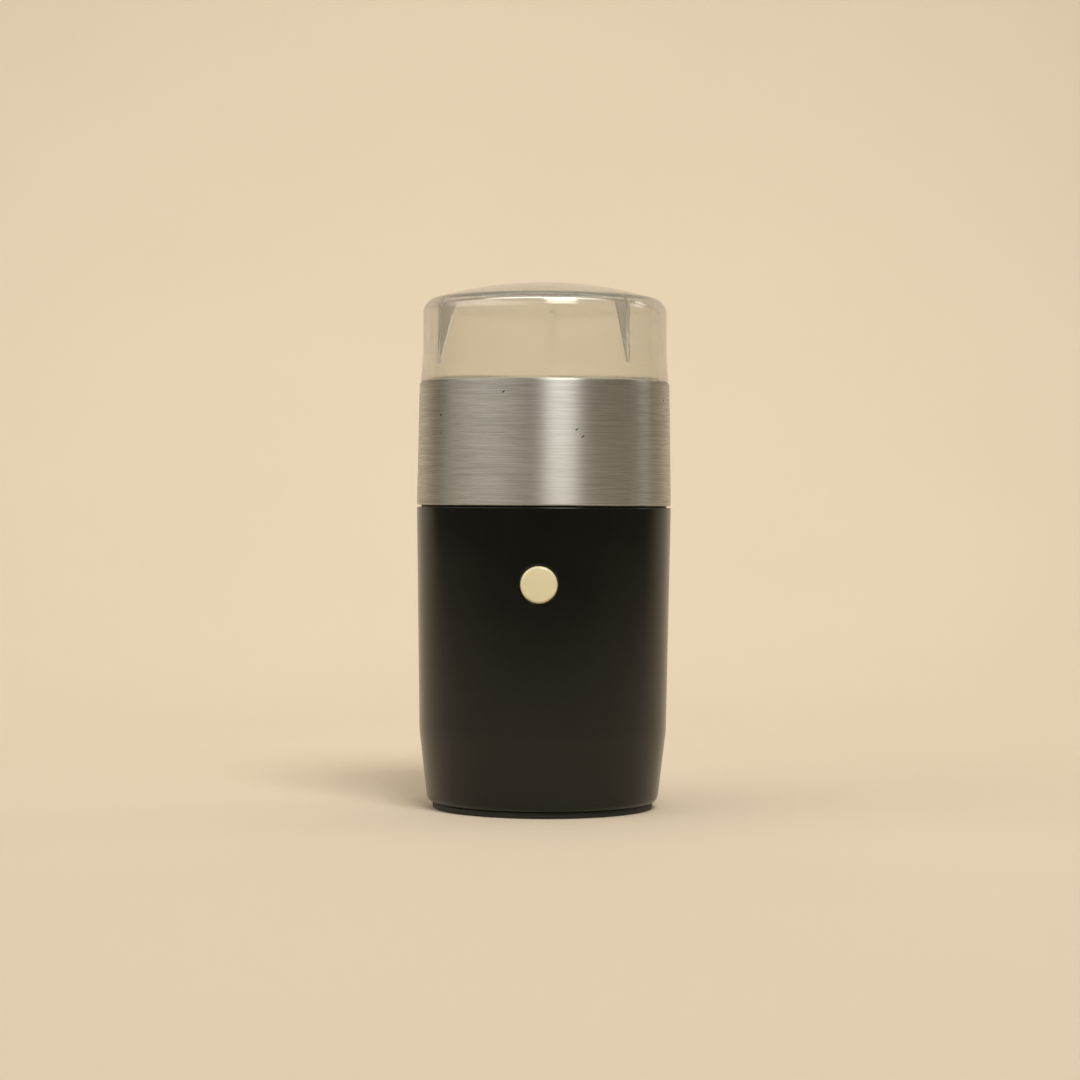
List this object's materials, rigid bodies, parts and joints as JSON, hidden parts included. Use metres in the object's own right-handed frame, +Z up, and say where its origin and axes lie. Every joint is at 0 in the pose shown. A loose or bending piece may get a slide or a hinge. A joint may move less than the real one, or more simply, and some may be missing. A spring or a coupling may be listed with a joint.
{
  "type": "electric spice grinder",
  "caption": "Upright electric spice grinder: clear domed lid, brushed steel grinding bowl and tapered black motor housing with a round push button.",
  "frame": {"origin": "on the table, under the middle of the foot ring", "axes": "+Z up along the motor shaft, -Y towards the push button, +X to the user's right"},
  "size_m": [0.08, 0.0804, 0.165],
  "materials": {
    "clear_plastic": "clear moulded plastic, polished",
    "brushed_bowl": "turned brushing round the wall",
    "black_plastic": "black moulded plastic, satin",
    "cream_plastic": "cream moulded plastic, polished",
    "black_rubber": "matte",
    "dark_nylon": "glass-filled moulding, matte",
    "screw_steel": "zinc plated",
    "shaft_steel": "ground",
    "blade_steel": "stamped, edges ground",
    "nut_steel": "bright plated",
    "core_steel": "laminated, varnished",
    "bracket_alloy": "die cast",
    "bracket_resin": "phenolic moulding",
    "bearing_bronze": "sintered, oiled",
    "coil_copper": "enamelled wire, varnished",
    "commutator_copper": "turned",
    "contact_brass": "stamped",
    "brush_carbon": "pressed carbon",
    "spring_steel": "drawn wire",
    "fan_plastic": "natural moulding",
    "switch_plastic": "moulded",
    "washer_fibre": "pressed fibre"
  },
  "bodies": {
    "base_unit": {"housing": "black_plastic", "foot_ring": "black_rubber", "cord_grommet": "black_rubber", "motor_carrier": "dark_nylon", "carrier_screws": "screw_steel", "grinding_bowl": "brushed_bowl", "bowl_gasket": "black_rubber", "bowl_nut": "nut_steel", "shaft_seal": "black_rubber", "button_spring": "spring_steel", "switch_body": "switch_plastic", "switch_terminals": "contact_brass", "stator_core": "core_steel", "field_coil_right": "coil_copper", "field_coil_left": "coil_copper", "upper_bracket": "bracket_alloy", "lower_bracket": "bracket_resin", "upper_bearing": "bearing_bronze", "lower_bearing": "bearing_bronze", "rubber_mounts": "black_rubber", "motor_screws": "screw_steel", "carbon_brushes": "brush_carbon", "brush_springs": "spring_steel", "brush_caps": "contact_brass"},
    "rotor": {"motor_shaft": "shaft_steel", "rotor_core": "core_steel", "rotor_winding": "coil_copper", "commutator": "commutator_copper", "thrust_washers": "washer_fibre", "cooling_fan": "fan_plastic", "blade": "blade_steel", "blade_nut": "nut_steel"},
    "push_button": {"button": "cream_plastic"},
    "lever": {"switch_lever": "spring_steel"},
    "cap": {"lid": "clear_plastic"}
  },
  "joints": [
    {"name": "rotor_spin", "type": "hinge", "parent": "base_unit", "child": "rotor", "pos_m": [0, 0, 0.061], "axis": [0, 0, 1], "continuous": true},
    {"name": "button_press", "type": "slide", "parent": "base_unit", "child": "push_button", "axis": [0, 1, 0], "range_m": [0, 0.002], "stiffness_N_per_m": 500, "springref_m": -0.003, "deforming": ["button_spring"]},
    {"name": "lever_turn", "type": "hinge", "parent": "base_unit", "child": "lever", "pos_m": [0, -0.0277, 0.066], "axis": [-1, 0, 0], "range_deg": [0, 21.5]},
    {"name": "lid_lift", "type": "slide", "parent": "base_unit", "child": "cap", "axis": [0, 0, 1], "range_m": [0, 0.06]}
  ],
  "couplings": [
    {"joint": "lever_turn", "follows": "button_press", "rad_per_m": 183.26}
  ]
}
